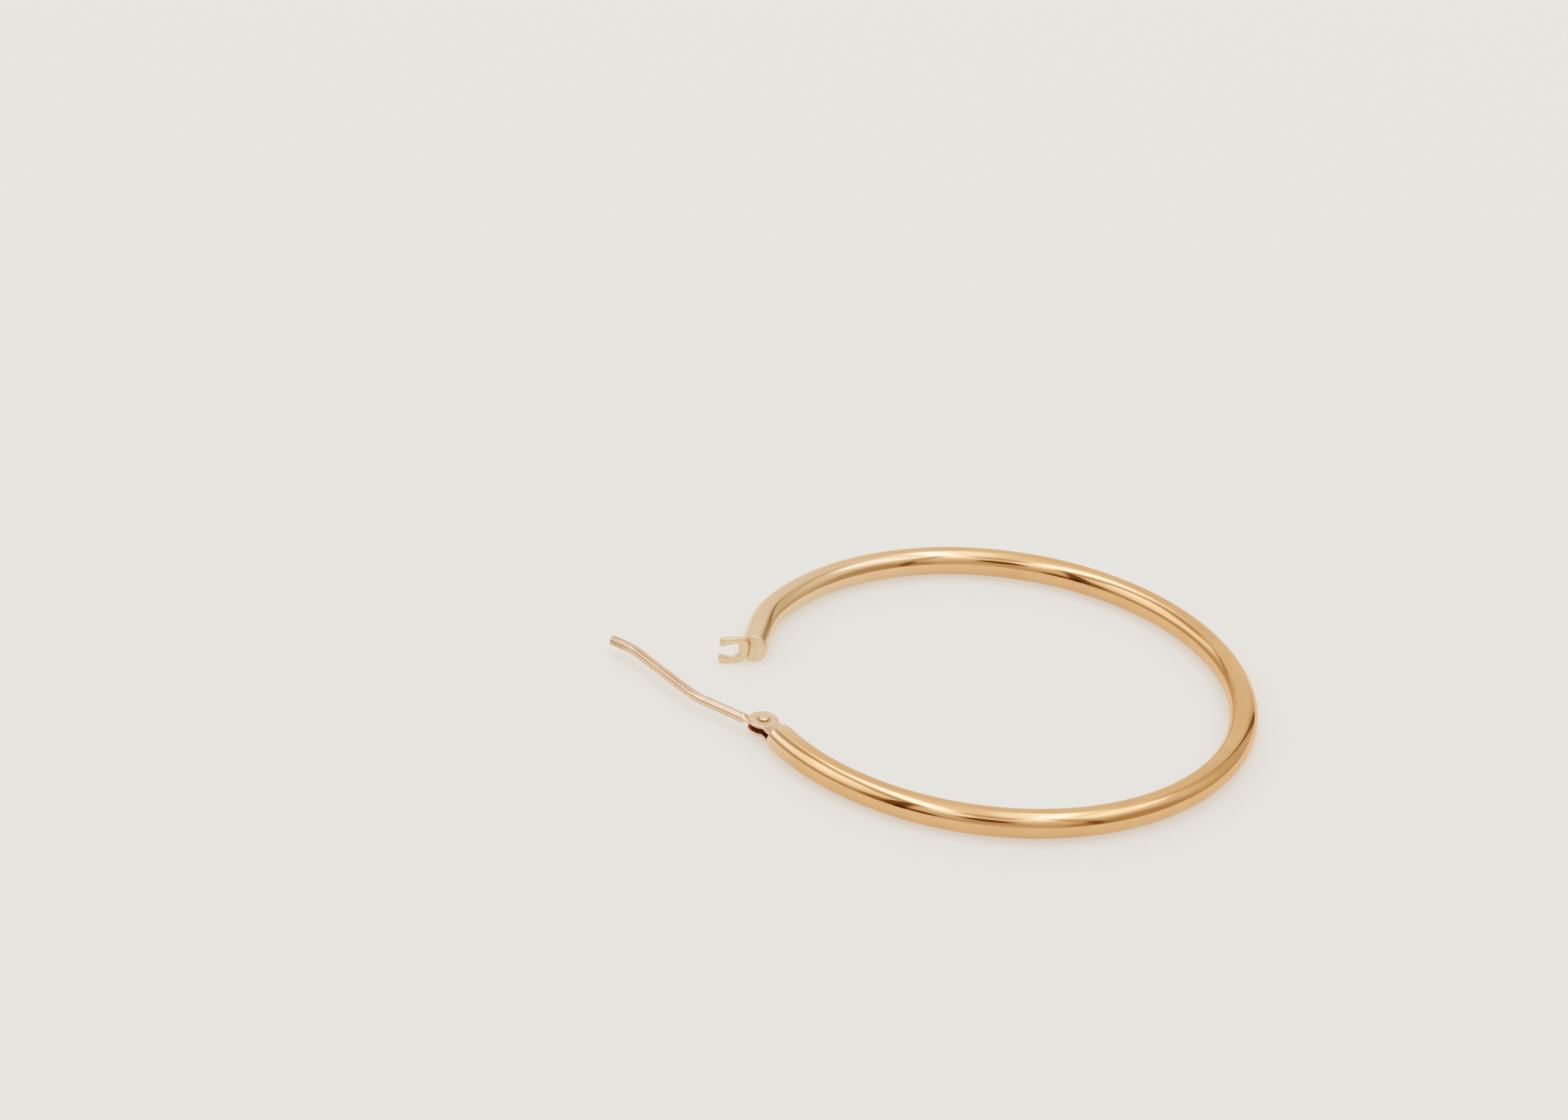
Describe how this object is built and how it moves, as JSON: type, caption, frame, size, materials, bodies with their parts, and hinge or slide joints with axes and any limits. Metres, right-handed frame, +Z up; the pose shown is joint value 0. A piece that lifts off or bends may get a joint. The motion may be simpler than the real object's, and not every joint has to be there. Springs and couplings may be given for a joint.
{
  "type": "hoop earring",
  "caption": "Round-tube metal hoop earring lying on its side, with a riveted swing ear wire and a soldered fork catch that holds the wire's end.",
  "frame": {"origin": "centre of the bottom of the whole part's box, on the plane that the hoop lies on", "axes": "+Z up, square to the plane of the hoop; the gap for the ear lobe, the catch and the open ear wire are on the -X side, the catch towards +Y and the hinge towards -Y"},
  "size_m": [0.0452, 0.0366, 0.002],
  "materials": {
    "polished_gold": "polished",
    "rivet_gold": "polished",
    "wire_gold": "drawn wire, lightly polished"
  },
  "bodies": {
    "hoop": {"hoop": "polished_gold", "hinge_rivet": "rivet_gold"},
    "ear_wire": {"ear_wire": "wire_gold"}
  },
  "joints": [
    {"name": "ear_wire_hinge", "type": "hinge", "parent": "hoop", "child": "ear_wire", "pos_m": [-0.0114, -0.00814, 0.001], "axis": [0, 0, 1], "range_deg": [-36.5, 105]}
  ]
}
